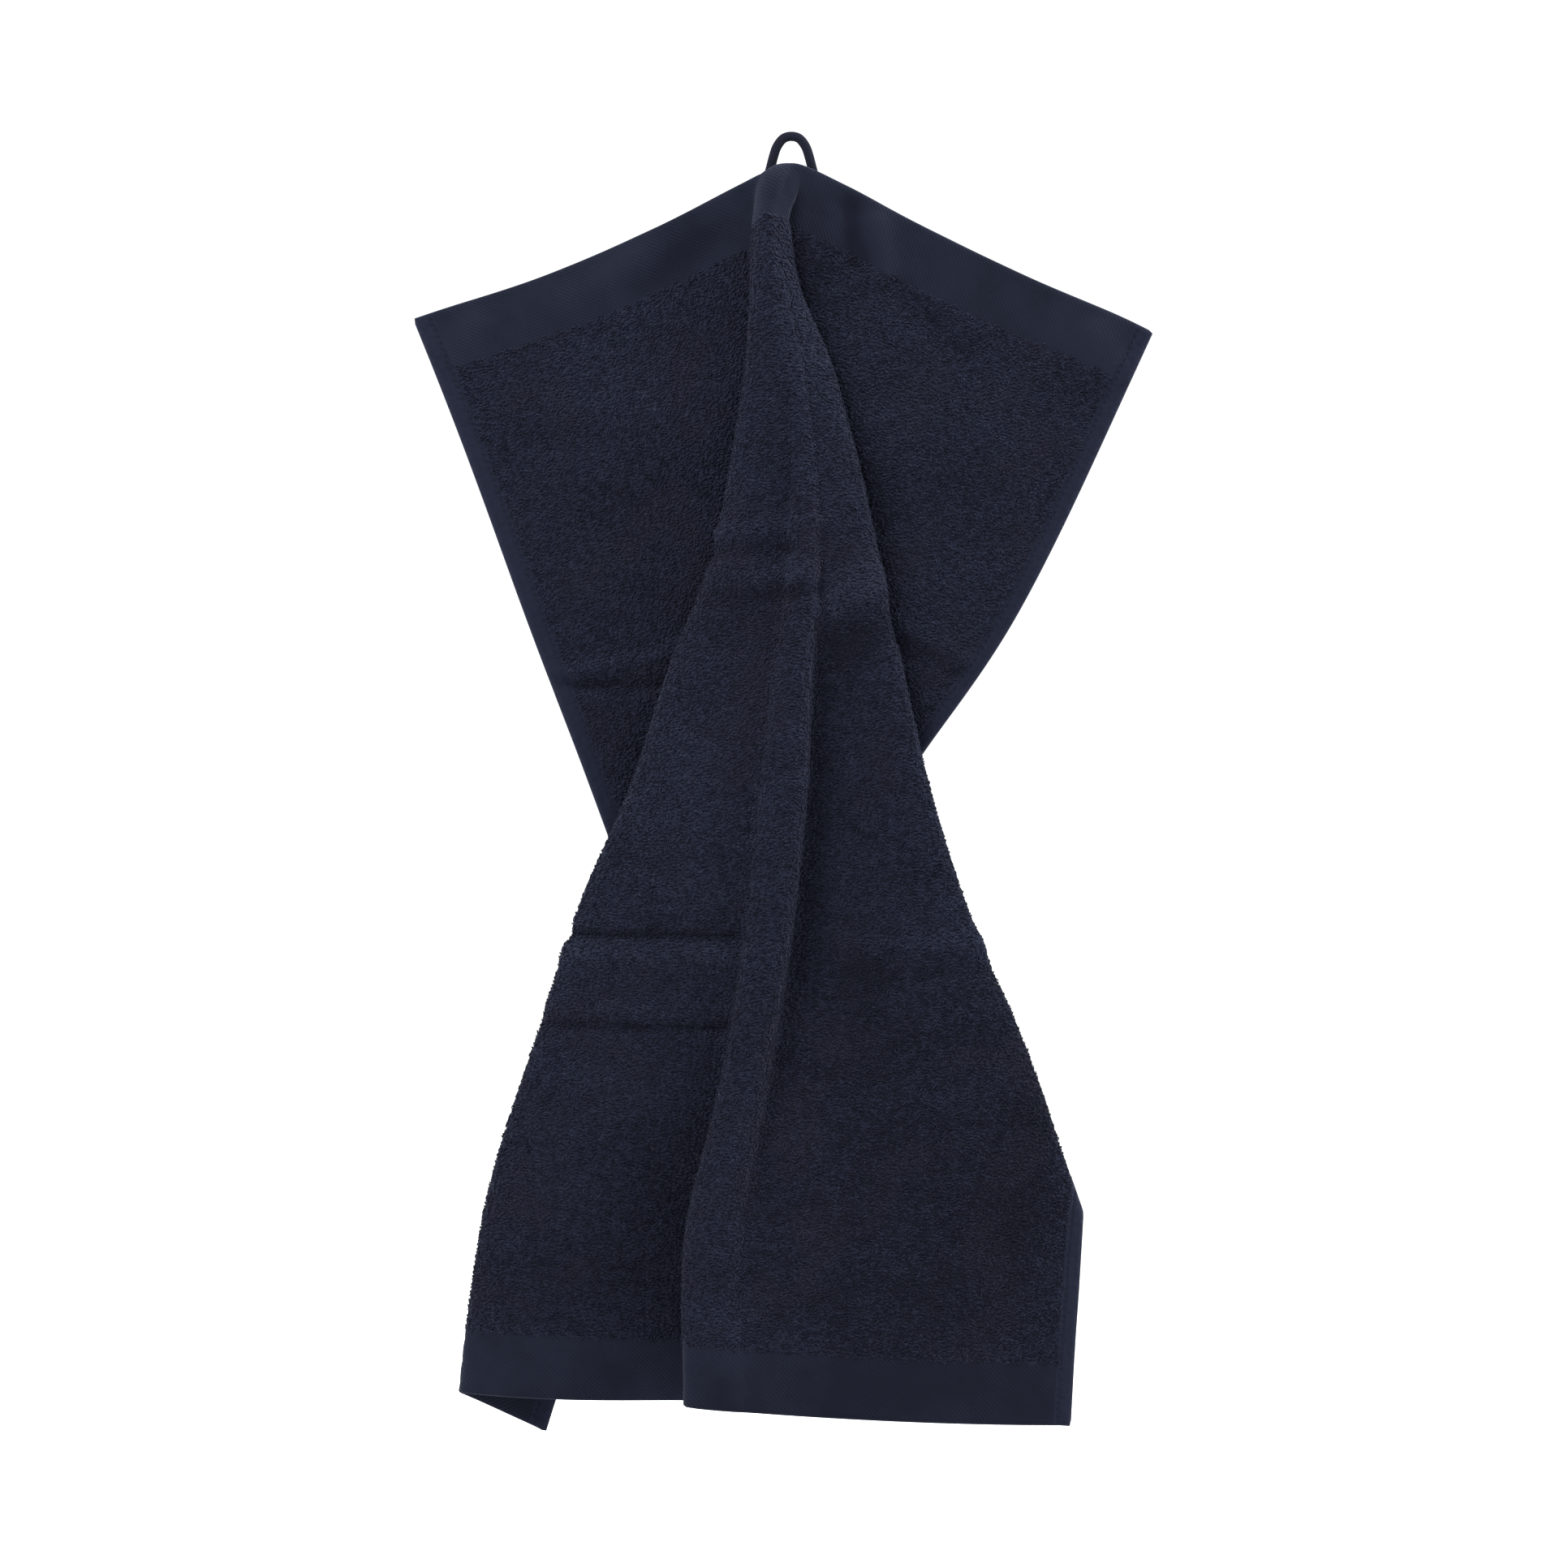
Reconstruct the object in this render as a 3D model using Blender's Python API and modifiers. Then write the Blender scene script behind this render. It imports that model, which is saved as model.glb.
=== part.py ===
"""A terry hand towel that hangs from its cord loop, as two solids: the cloth and the loop.

The origin is where a hook bears under the top of the loop. +Z is up and -Y faces the viewer.
Sizes below are in millimetres and angles in degrees.

The cloth hangs from one point, so it folds like a cone: every line of the flat cloth that leaves the
hanging point stays nearly straight. Each section is therefore taken at one distance from that point,
and the flat cloth is laid along it at its own length.
"""

import math

import bmesh
import bpy
import numpy as np

MM = 0.001

# The flat cloth
TOWEL_WIDTH = 400.0
TOWEL_LENGTH = 600.0
SIDE_HEM = 9.0
END_BAND = 29.0
PILE_EDGE = 1.5
PILE_THICKNESS = 3.6
BAND_THICKNESS = 2.0

# Where the middle of the top edge hangs, from the origin
PEAK_DROP = 11.8
PEAK_FORWARD = 3.7
PEAK_ROUND = 5.0

# How much of the cloth's length shows in the middle and at the front folds, past its small ripples
MIDDLE_REACH = 0.999
FRONT_EDGE_REACH = 0.987
FRONT_EDGE = 18.0
WING_START = 40.0

# One row for each section, by its distance from the peak. Edges, ridge and turns are angles, the
# edges and ridge from straight down and positive to the viewer's right. Reaches are shares of the
# cloth's length that show in the wings. The lip and the lean are how far the roll hangs over to the
# left and to the right, and the columns after them are depths, positive towards the viewer.
SECTION_COLUMNS = (
    "distance", "left_edge", "ridge", "right_edge", "left_cloth", "left_turn", "right_turn",
    "left_reach", "right_reach", "lip", "lean", "wing", "under_left", "front_left", "left_panel",
    "valley", "roll", "hollow", "right_panel", "front_right", "under_right",
)
SECTIONS = (
    (0, -85.0, -35.0, 45.0, -92.0, 26.0, 25.0, 0.985, 0.962, 0, 0, 0, 0, 0, 0, 0, 0, 0, 0, 0, 0),
    (14, -64.0, -28.0, 8.0, -76.0, 26.4, 25.4, 0.985, 0.962, 0, 0, 0, 1, 5, 7, 8, 7, 5, 4, 2, 1),
    (24, -41.0, -22.0, -5.0, -52.0, 26.6, 25.5, 0.985, 0.962, 0, 0, -2, 0, 8, 9, 10, 9, 8, 7, 4, 1),
    (34, -31.0, -16.0, -3.0, -39.0, 26.7, 25.7, 0.985, 0.962, 0, 0, -3, 0, 10, 13, 13, 11, 9, 7, 4, 0),
    (57, -19.3, -8.0, 2.5, -25.7, 26.8, 26.6, 0.985, 0.962, 0, 0, -6, 1, 11, 13, 14, 12, 9, 6, 3, 0),
    (90, -13.2, -2.0, 10.0, -17.0, 26.2, 26.6, 0.985, 0.962, 0, 0, -8, 0, 10, 13, 13, 12, 8, 6, 4, 0),
    (130, -11.6, 0.2, 12.1, -13.5, 25.1, 26.2, 0.985, 0.962, 0, 0, -9, -1, 9, 12, 11, 13, 10, 10, 7, -1),
    (190, -11.3, -0.2, 12.5, -12.4, 22.9, 25.3, 0.985, 0.962, 0, 0, -9, -1, 9, 13, 12, 17, 12, 12, 9, -1),
    (250, -13.6, -1.8, 12.4, -14.2, 22.1, 26.6, 0.999, 0.968, 0, 2, -9, -1, 8, 14, 14, 20, 4, 8, 9, -1),
    (310, -14.5, -2.6, 12.5, -14.1, 21.6, 28.7, 0.997, 0.950, 0, 4, -9, -1, 8, 15, 15, 22, 0, 8, 9, -1),
    (370, -16.0, -3.2, 13.3, -15.0, 21.0, 29.0, 0.990, 0.945, 1, 4, -9, -1, 8, 15, 14, 24, 0, 10, 8, -1),
    (440, -16.4, -4.2, 14.9, -15.2, 21.0, 29.0, 0.985, 0.945, 5, 1, -9, -1, 8, 13, 7, 27, 10, 9, 4, -4),
    (520, -16.6, -5.2, 15.6, -15.0, 21.0, 29.0, 0.985, 0.945, 13, -2, -10, -3, 8, 12, -5, 28, 20, 10, -2, -11),
    (580, -15.9, -4.6, 16.0, -14.6, 21.0, 29.0, 0.985, 0.945, 16, -3, -11, -5, 8, 11, -10, 27, 21, 9, -9, -20),
    (640, -15.0, -3.8, 16.0, -14.3, 21.0, 29.0, 0.985, 0.945, 21, -3, -12, -6, 8, 11, -12, 27, 21, 9, -13, -24),
)
ROLL_WIDTH = 20.0
ROLL_GROWTH = 300.0
WING_NEAR = 16.0
WING_SPAN = 100.0
LEFT_EDGE_CONTROL = 7

# The loop, as half of its centre line: across, up and back
CORD_DIAMETER = 4.6
LOOP_POINTS = (
    (0.0, 2.3, 0.0), (3.9, 1.2, 0.0), (6.9, -2.6, 0.1), (8.5, -7.0, 0.4), (9.9, -12.2, 1.0),
    (11.2, -17.0, 2.2), (12.6, -22.0, 3.4), (13.8, -27.0, 4.4),
)

# Mesh steps
GRID_STEP = 2.5
SPAN_STEPS = 10
KEPT_SHARE = 0.064


def clear_scene():
    for obj in list(bpy.data.objects):
        bpy.data.objects.remove(obj, do_unlink=True)


def make_material(name, colour, roughness):
    material = bpy.data.materials.new(name)
    material.use_nodes = True
    shader = material.node_tree.nodes["Principled BSDF"]
    shader.inputs["Base Color"].default_value = (*colour, 1.0)
    shader.inputs["Roughness"].default_value = roughness
    shader.inputs["Metallic"].default_value = 0.0
    return material


def section_values(distance):
    """Every column of the table at these distances, by a smooth curve through its rows."""
    table = np.array(SECTIONS, float)
    knots = table[:, 0]
    slopes = np.gradient(table, knots, axis=0)
    at = np.clip(distance, knots[0], knots[-1])
    low = np.clip(np.searchsorted(knots, at, side="right") - 1, 0, len(knots) - 2)
    gap = (knots[low + 1] - knots[low])[:, None]
    f = ((at - knots[low])[:, None]) / gap
    values = (
        (1 + 2 * f) * (1 - f) ** 2 * table[low]
        + f * (1 - f) ** 2 * gap * slopes[low]
        + f ** 2 * (3 - 2 * f) * table[low + 1]
        + f ** 2 * (f - 1) * gap * slopes[low + 1]
    )
    return dict(zip(SECTION_COLUMNS, values.T))


def spline_weights(count):
    """Weights of the control points at every step along a uniform cubic B-spline."""
    u = np.arange((count - 3) * SPAN_STEPS + 1) / SPAN_STEPS
    span = np.minimum(u.astype(int), count - 4)
    f = u - span
    parts = (
        (1 - f) ** 3 / 6,
        (3 * f ** 3 - 6 * f ** 2 + 4) / 6,
        (-3 * f ** 3 + 3 * f ** 2 + 3 * f + 1) / 6,
        f ** 3 / 6,
    )
    weights = np.zeros((len(u), count))
    for k, part in enumerate(parts):
        weights[np.arange(len(u)), span + k] = part
    return weights


def section_controls(r, v, left_tuck, right_tuck):
    """Control points of the sections, as arc positions and depths, from the left wing to the right."""
    arc = {k: r * np.radians(v[k]) for k in ("left_edge", "ridge", "right_edge")}
    small = np.minimum(1.0, r / 190.0)
    width = ROLL_WIDTH * np.minimum(1.0, r / ROLL_GROWTH)
    roll = arc["ridge"] + width
    wide = r * math.radians(WING_SPAN)
    points = (
        (-2 * wide, v["wing"]),
        (-wide, v["wing"]),
        ((left_tuck - wide) / 2, v["wing"]),
        (left_tuck - WING_NEAR * small, v["wing"]),
        (left_tuck, v["wing"]),
        (left_tuck, v["under_left"]),
        ((left_tuck + arc["left_edge"]) / 2, v["under_left"]),
        (arc["left_edge"], v["under_left"]),
        (arc["left_edge"], v["front_left"]),
        (0.55 * arc["left_edge"] + 0.45 * arc["ridge"], v["left_panel"]),
        (arc["ridge"] - 0.5 * width, v["valley"]),
        (arc["ridge"] + v["lip"], v["valley"]),
        (arc["ridge"] - v["lip"], v["roll"]),
        (roll + v["lean"], v["roll"]),
        (roll - v["lean"], v["hollow"]),
        (roll + 0.5 * width, v["hollow"]),
        (0.4 * roll + 0.6 * arc["right_edge"], v["right_panel"]),
        (arc["right_edge"], v["front_right"]),
        (arc["right_edge"], v["under_right"]),
        ((right_tuck + arc["right_edge"]) / 2, v["under_right"]),
        (right_tuck, v["under_right"]),
        (right_tuck, v["wing"]),
        (right_tuck + WING_NEAR * small, v["wing"]),
        ((right_tuck + wide) / 2, v["wing"]),
        (wide, v["wing"]),
        (2 * wide, v["wing"]),
    )
    across = np.stack([p[0] for p in points], axis=1)
    depth = np.stack([p[1] for p in points], axis=1)
    return across, depth


def sections(r):
    """Arc position, depth and flat-cloth position of the points along each section."""
    v = section_values(r)
    left_tuck = 0.3 * r * np.radians(v["left_edge"])
    right_tuck = 0.3 * r * np.radians(v["right_edge"])
    anchor = (LEFT_EDGE_CONTROL - 1) * SPAN_STEPS + SPAN_STEPS // 2
    for _ in range(8):
        across, depth = section_controls(r, v, left_tuck, right_tuck)
        weights = spline_weights(across.shape[1])
        a = across @ weights.T
        d = depth @ weights.T
        along = np.cumsum(np.hypot(np.diff(a, axis=1), np.diff(d, axis=1)), axis=1)
        along = np.concatenate([np.zeros((len(r), 1)), along], axis=1)
        cloth = along - along[:, [anchor]] + (r * np.radians(v["left_cloth"]))[:, None]
        left_error = cloth[:, 0] - (a[:, 0] - r * np.radians(v["left_turn"]))
        right_error = cloth[:, -1] - (a[:, -1] + r * np.radians(v["right_turn"]))
        left_tuck = left_tuck + left_error / 2
        right_tuck = right_tuck + right_error / 2
    return a, d, cloth


def smooth(x):
    x = np.clip(x, 0, 1)
    return x * x * (3 - 2 * x)


def hang(s, t):
    """Where the flat cloth's points hang, in millimetres. s runs across it and t down from its top edge."""
    side = s - TOWEL_WIDTH / 2
    r = np.maximum(np.hypot(side, t), 0.01)
    flat_angle = np.arctan2(side, t)
    a, d, cloth = sections(r)
    across = np.array([np.interp(x, c, p) for x, c, p in zip(r * flat_angle, cloth, a)])
    depth = np.array([np.interp(x, c, p) for x, c, p in zip(r * flat_angle, cloth, d)])
    drop = (np.hypot(r, PEAK_ROUND) - PEAK_ROUND) / r
    angle = flat_angle + (across / r - flat_angle) * drop
    share = np.degrees(np.abs(flat_angle))
    middle = MIDDLE_REACH + (FRONT_EDGE_REACH - MIDDLE_REACH) * np.minimum(
        share / FRONT_EDGE, 1.0
    ) ** 2
    v = section_values(r)
    wing = np.where(side < 0, v["left_reach"], v["right_reach"])
    outer = smooth((share - FRONT_EDGE) / (WING_START - FRONT_EDGE))
    reach = (middle + (wing - middle) * outer) * np.sqrt(np.maximum(r ** 2 - depth ** 2, 0.0))
    return np.stack(
        [
            reach * np.sin(angle),
            -depth - PEAK_FORWARD,
            -reach * np.cos(angle) - PEAK_DROP,
        ],
        axis=1,
    )


def grid_lines(total, border):
    """Grid lines across the cloth, with one at each side of both pile borders."""
    inner = np.linspace(border + PILE_EDGE, total - border - PILE_EDGE, round(total / GRID_STEP))
    rim = np.linspace(0, border, round(border / GRID_STEP) + 1)
    return np.concatenate([rim, inner, total - rim[::-1]])


def make_cloth(material):
    s_lines = grid_lines(TOWEL_WIDTH, SIDE_HEM)
    t_lines = grid_lines(TOWEL_LENGTH, END_BAND)
    mesh = bpy.data.meshes.new("towel")
    work = bmesh.new()
    bmesh.ops.create_grid(
        work, x_segments=len(s_lines) - 1, y_segments=len(t_lines) - 1, size=0.5
    )
    places = np.array([v.co for v in work.verts])
    s = s_lines[np.round((places[:, 0] + 0.5) * (len(s_lines) - 1)).astype(int)]
    t = t_lines[np.round((0.5 - places[:, 1]) * (len(t_lines) - 1)).astype(int)]
    for vert, point in zip(work.verts, hang(s, t)):
        vert.co = point * MM
    work.to_mesh(mesh)
    work.free()
    mesh.materials.append(material)
    obj = bpy.data.objects.new("towel", mesh)

    in_pile = (
        (s > SIDE_HEM + PILE_EDGE / 2)
        & (s < TOWEL_WIDTH - SIDE_HEM - PILE_EDGE / 2)
        & (t > END_BAND + PILE_EDGE / 2)
        & (t < TOWEL_LENGTH - END_BAND - PILE_EDGE / 2)
    )
    pile = obj.vertex_groups.new(name="pile")
    pile.add([int(i) for i in np.flatnonzero(in_pile)], 1.0, "REPLACE")

    wall = obj.modifiers.new("thickness", "SOLIDIFY")
    wall.thickness = PILE_THICKNESS * MM
    wall.offset = 0.0
    wall.vertex_group = "pile"
    wall.thickness_vertex_group = BAND_THICKNESS / PILE_THICKNESS
    thin = obj.modifiers.new("fewer faces", "DECIMATE")
    thin.ratio = KEPT_SHARE
    thin.use_collapse_triangulate = True
    return obj


def smooth_line(points, steps):
    """Points along a smooth curve through the given ones."""
    p = np.array(points, float)
    p = np.concatenate([[2 * p[0] - p[1]], p, [2 * p[-1] - p[-2]]])
    f = np.linspace(0, 1, steps, endpoint=False)[:, None]
    line = [
        0.5 * (
            2 * b
            + (c - a) * f
            + (2 * a - 5 * b + 4 * c - d) * f ** 2
            + (3 * b - a - 3 * c + d) * f ** 3
        )
        for a, b, c, d in zip(p, p[1:], p[2:], p[3:])
    ]
    return np.concatenate([*line, p[-2:-1]])


def make_loop(material):
    half = [(x, back, up) for x, up, back in LOOP_POINTS]
    points = [(-x, back, up) for x, back, up in half[:0:-1]] + half
    line = smooth_line(points, 3) * MM
    curve = bpy.data.curves.new("hanging_loop", "CURVE")
    curve.dimensions = "3D"
    curve.bevel_depth = CORD_DIAMETER / 2 * MM
    curve.bevel_resolution = 2
    curve.use_fill_caps = True
    spline = curve.splines.new("POLY")
    spline.points.add(len(line) - 1)
    for point, place in zip(spline.points, line):
        point.co = (*place, 1.0)
    curve.materials.append(material)
    return bpy.data.objects.new("hanging_loop", curve)


def main():
    clear_scene()
    collection = bpy.data.collections.new("hanging towel")
    bpy.context.scene.collection.children.link(collection)
    terry = make_material("terry", (0.018, 0.02, 0.042), 0.95)
    cord = make_material("cord", (0.014, 0.015, 0.026), 0.8)
    collection.objects.link(make_cloth(terry))
    collection.objects.link(make_loop(cord))


main()
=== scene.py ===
import math

import bpy
import numpy as np
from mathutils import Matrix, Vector


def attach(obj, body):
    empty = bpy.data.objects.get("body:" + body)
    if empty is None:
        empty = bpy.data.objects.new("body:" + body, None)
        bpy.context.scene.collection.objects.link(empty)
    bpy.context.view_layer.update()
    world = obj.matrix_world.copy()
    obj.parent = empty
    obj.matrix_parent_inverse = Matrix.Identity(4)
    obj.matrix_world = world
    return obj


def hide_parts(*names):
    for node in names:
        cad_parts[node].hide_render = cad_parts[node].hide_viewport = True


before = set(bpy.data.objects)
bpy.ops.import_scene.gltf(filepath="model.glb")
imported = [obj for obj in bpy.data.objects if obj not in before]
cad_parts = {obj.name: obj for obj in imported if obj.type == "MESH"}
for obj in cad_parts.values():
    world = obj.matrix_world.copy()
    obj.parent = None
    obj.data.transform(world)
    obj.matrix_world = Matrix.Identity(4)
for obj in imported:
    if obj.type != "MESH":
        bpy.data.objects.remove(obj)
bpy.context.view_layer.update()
mm = 0.001


# the photograph's camera, in millimetres
view = {
    "middle": (-3.54, -311.3),  # across and up, at the hanging point's depth
    "distance": 2200.0,
    "width": 759.3,  # of the whole picture, at the hanging point's depth
    "sensor": 36.0,
}


def makeCamera():
    camera = bpy.data.cameras.new("photoCamera")
    camera.sensor_width = view["sensor"]
    camera.lens = view["sensor"] * view["distance"] / view["width"]
    obj = bpy.data.objects.new("photoCamera", camera)
    obj.location = (view["middle"][0] * mm, -view["distance"] * mm, view["middle"][1] * mm)
    obj.rotation_euler = (math.radians(90), 0, 0)
    bpy.context.scene.collection.objects.link(obj)
    bpy.context.scene.camera = obj


# the flat cloth, in millimetres
cloth = {
    "width": 400.0,
    "length": 600.0,
    "sideHem": 9.0,
    "endBand": 29.0,
    "pileEdge": 1.5,  # the step between the flat weave and the pile
    "bandHalf": 1.0,  # half the thickness of the flat weave
    "groundHalf": 1.0,  # half the thickness under the pile
    "hemHalf": 1.25,  # the side hem is folded over
    "columnStep": 2.1,  # between grid lines under the pile
    "rowStep": 2.6,
    "hemStep": 1.5,  # and under the hems and bands
    "bandStep": 2.0,
    "rimRound": 0.8,  # how far the edges bulge
}

# where the middle of the top edge hangs
peak = {"drop": 11.8, "forward": 3.7, "round": 5.0}

# how much of the cloth's length shows
reach = {"middle": 0.999, "frontEdge": 0.987, "frontTurn": 18.0, "wingTurn": 40.0}

# One row for each section, by its distance from the peak. Edges, ridge and turns are angles, the
# edges and ridge from straight down and positive to the viewer's right. Reaches are shares of the
# cloth's length that show in the wings. The lip and the lean are how far the roll hangs over to the
# left and to the right, and the columns after them are depths, positive towards the viewer.
sectionColumns = (
    "distance", "leftEdge", "ridge", "rightEdge", "leftCloth", "leftTurn", "rightTurn",
    "leftReach", "rightReach", "lip", "lean", "wing", "underLeft", "frontLeft", "leftPanel",
    "valley", "roll", "hollow", "rightPanel", "frontRight", "underRight",
)
sectionRows = (
    (0, -85.0, -35.0, 45.0, -92.0, 26.0, 25.0, 0.985, 0.962, 0, 0, 0, 0, 0, 0, 0, 0, 0, 0, 0, 0),
    (14, -64.0, -28.0, 8.0, -76.0, 26.4, 25.4, 0.985, 0.962, 0, 0, 0, 1, 5, 7, 8, 7, 5, 4, 2, 1),
    (24, -41.0, -22.0, -5.0, -52.0, 26.6, 25.5, 0.985, 0.962, 0, 0, -2, 0, 8, 9, 10, 9, 8, 7, 4, 1),
    (34, -31.0, -16.0, -3.0, -39.0, 26.7, 25.7, 0.985, 0.962, 0, 0, -3, 0, 10, 13, 13, 11, 9, 7, 4, 0),
    (57, -19.3, -8.0, 2.5, -25.7, 26.8, 26.6, 0.985, 0.962, 0, 0, -6, 1, 11, 13, 14, 12, 9, 6, 3, 0),
    (90, -13.2, -2.0, 10.0, -17.0, 26.2, 26.6, 0.985, 0.962, 0, 0, -8, 0, 10, 13, 13, 12, 8, 6, 4, 0),
    (130, -11.6, 0.2, 12.1, -13.5, 25.1, 26.2, 0.985, 0.962, 0, 0, -9, -1, 9, 12, 11, 13, 10, 10, 7, -1),
    (190, -11.3, -0.2, 12.5, -12.4, 22.9, 25.3, 0.985, 0.962, 0, 0, -9, -1, 9, 13, 12, 17, 12, 12, 9, -1),
    (250, -13.6, -1.8, 12.4, -14.2, 22.1, 26.6, 0.999, 0.968, 0, 2, -9, -1, 8, 14, 14, 20, 4, 8, 9, -1),
    (310, -14.5, -2.6, 12.5, -14.1, 21.6, 28.7, 0.997, 0.950, 0, 4, -9, -1, 8, 15, 15, 22, 0, 8, 9, -1),
    (370, -16.0, -3.2, 13.3, -15.0, 21.0, 29.0, 0.990, 0.945, 1, 4, -9, -1, 8, 15, 14, 24, 0, 10, 8, -1),
    (440, -16.4, -4.2, 14.9, -15.2, 21.0, 29.0, 0.985, 0.945, 5, 1, -9, -1, 8, 13, 7, 27, 10, 9, 4, -4),
    (520, -16.6, -5.2, 15.6, -15.0, 21.0, 29.0, 0.985, 0.945, 13, -2, -10, -3, 8, 12, -5, 28, 20, 10, -2, -11),
    (580, -15.9, -4.6, 16.0, -14.6, 21.0, 29.0, 0.985, 0.945, 16, -3, -11, -5, 8, 11, -10, 27, 21, 9, -9, -20),
    (640, -15.0, -3.8, 16.0, -14.3, 21.0, 29.0, 0.985, 0.945, 21, -3, -12, -6, 8, 11, -12, 27, 21, 9, -13, -24),
)
folds = {
    "rollWidth": 20.0,
    "rollGrowth": 300.0,  # where the roll reaches its full width
    "wingNear": 16.0,
    "wingGrowth": 190.0,  # where the wings turn at their full size
    "wingSpan": 100.0,
    "tuckStart": 0.3,  # first guess of the tucks, as a share of the edges
    "tuckRounds": 8,
    "spanSteps": 10,  # points on each stretch of a section
    "leftEdgeControl": 7,
    "distanceStep": 2.0,  # between worked-out sections
    "farthest": 660.0,
}


def sectionValues(distance):
    # every column at these distances, by a smooth curve through the rows
    rows = np.array(sectionRows, float)
    knots = rows[:, 0]
    slopes = np.gradient(rows, knots, axis=0)
    at = np.clip(distance, knots[0], knots[-1])
    low = np.clip(np.searchsorted(knots, at, side="right") - 1, 0, len(knots) - 2)
    gap = (knots[low + 1] - knots[low])[:, None]
    f = ((at - knots[low])[:, None]) / gap
    values = (
        (1 + 2 * f) * (1 - f) ** 2 * rows[low]
        + f * (1 - f) ** 2 * gap * slopes[low]
        + f ** 2 * (3 - 2 * f) * rows[low + 1]
        + f ** 2 * (f - 1) * gap * slopes[low + 1]
    )
    return dict(zip(sectionColumns, values.T))


def splineWeights(count):
    steps = folds["spanSteps"]
    u = np.arange((count - 3) * steps + 1) / steps
    span = np.minimum(u.astype(int), count - 4)
    f = u - span
    parts = (
        (1 - f) ** 3 / 6,
        (3 * f ** 3 - 6 * f ** 2 + 4) / 6,
        (-3 * f ** 3 + 3 * f ** 2 + 3 * f + 1) / 6,
        f ** 3 / 6,
    )
    weights = np.zeros((len(u), count))
    for k, part in enumerate(parts):
        weights[np.arange(len(u)), span + k] = part
    return weights


def sectionControls(r, v, leftTuck, rightTuck):
    left, ridge, right = (r * np.radians(v[k]) for k in ("leftEdge", "ridge", "rightEdge"))
    width = folds["rollWidth"] * np.minimum(1.0, r / folds["rollGrowth"])
    near = folds["wingNear"] * np.minimum(1.0, r / folds["wingGrowth"])
    roll = ridge + width
    wide = r * math.radians(folds["wingSpan"])
    points = (
        (-2 * wide, v["wing"]),
        (-wide, v["wing"]),
        ((leftTuck - wide) / 2, v["wing"]),
        (leftTuck - near, v["wing"]),
        (leftTuck, v["wing"]),
        (leftTuck, v["underLeft"]),
        ((leftTuck + left) / 2, v["underLeft"]),
        (left, v["underLeft"]),
        (left, v["frontLeft"]),
        (0.55 * left + 0.45 * ridge, v["leftPanel"]),
        (ridge - 0.5 * width, v["valley"]),
        (ridge + v["lip"], v["valley"]),
        (ridge - v["lip"], v["roll"]),
        (roll + v["lean"], v["roll"]),
        (roll - v["lean"], v["hollow"]),
        (roll + 0.5 * width, v["hollow"]),
        (0.4 * roll + 0.6 * right, v["rightPanel"]),
        (right, v["frontRight"]),
        (right, v["underRight"]),
        ((rightTuck + right) / 2, v["underRight"]),
        (rightTuck, v["underRight"]),
        (rightTuck, v["wing"]),
        (rightTuck + near, v["wing"]),
        ((rightTuck + wide) / 2, v["wing"]),
        (wide, v["wing"]),
        (2 * wide, v["wing"]),
    )
    across = np.stack([p[0] for p in points], axis=1)
    depth = np.stack([p[1] for p in points], axis=1)
    return across, depth


def makeSections():
    # the cloth laid along each section at its own length
    steps = folds["spanSteps"]
    r = np.arange(0.0, folds["farthest"], folds["distanceStep"]) + 0.01
    v = sectionValues(r)
    leftTuck = folds["tuckStart"] * r * np.radians(v["leftEdge"])
    rightTuck = folds["tuckStart"] * r * np.radians(v["rightEdge"])
    anchor = (folds["leftEdgeControl"] - 1) * steps + steps // 2
    for _ in range(folds["tuckRounds"]):
        across, depth = sectionControls(r, v, leftTuck, rightTuck)
        weights = splineWeights(across.shape[1])
        a = across @ weights.T
        d = depth @ weights.T
        along = np.cumsum(np.hypot(np.diff(a, axis=1), np.diff(d, axis=1)), axis=1)
        along = np.concatenate([np.zeros((len(r), 1)), along], axis=1)
        flat = along - along[:, [anchor]] + (r * np.radians(v["leftCloth"]))[:, None]
        leftTuck = leftTuck + (flat[:, 0] - (a[:, 0] - r * np.radians(v["leftTurn"]))) / 2
        rightTuck = rightTuck + (flat[:, -1] - (a[:, -1] + r * np.radians(v["rightTurn"]))) / 2
    return {"r": r, "across": a, "depth": d, "flat": flat}


def smooth(x):
    x = np.clip(x, 0, 1)
    return x * x * (3 - 2 * x)


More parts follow.
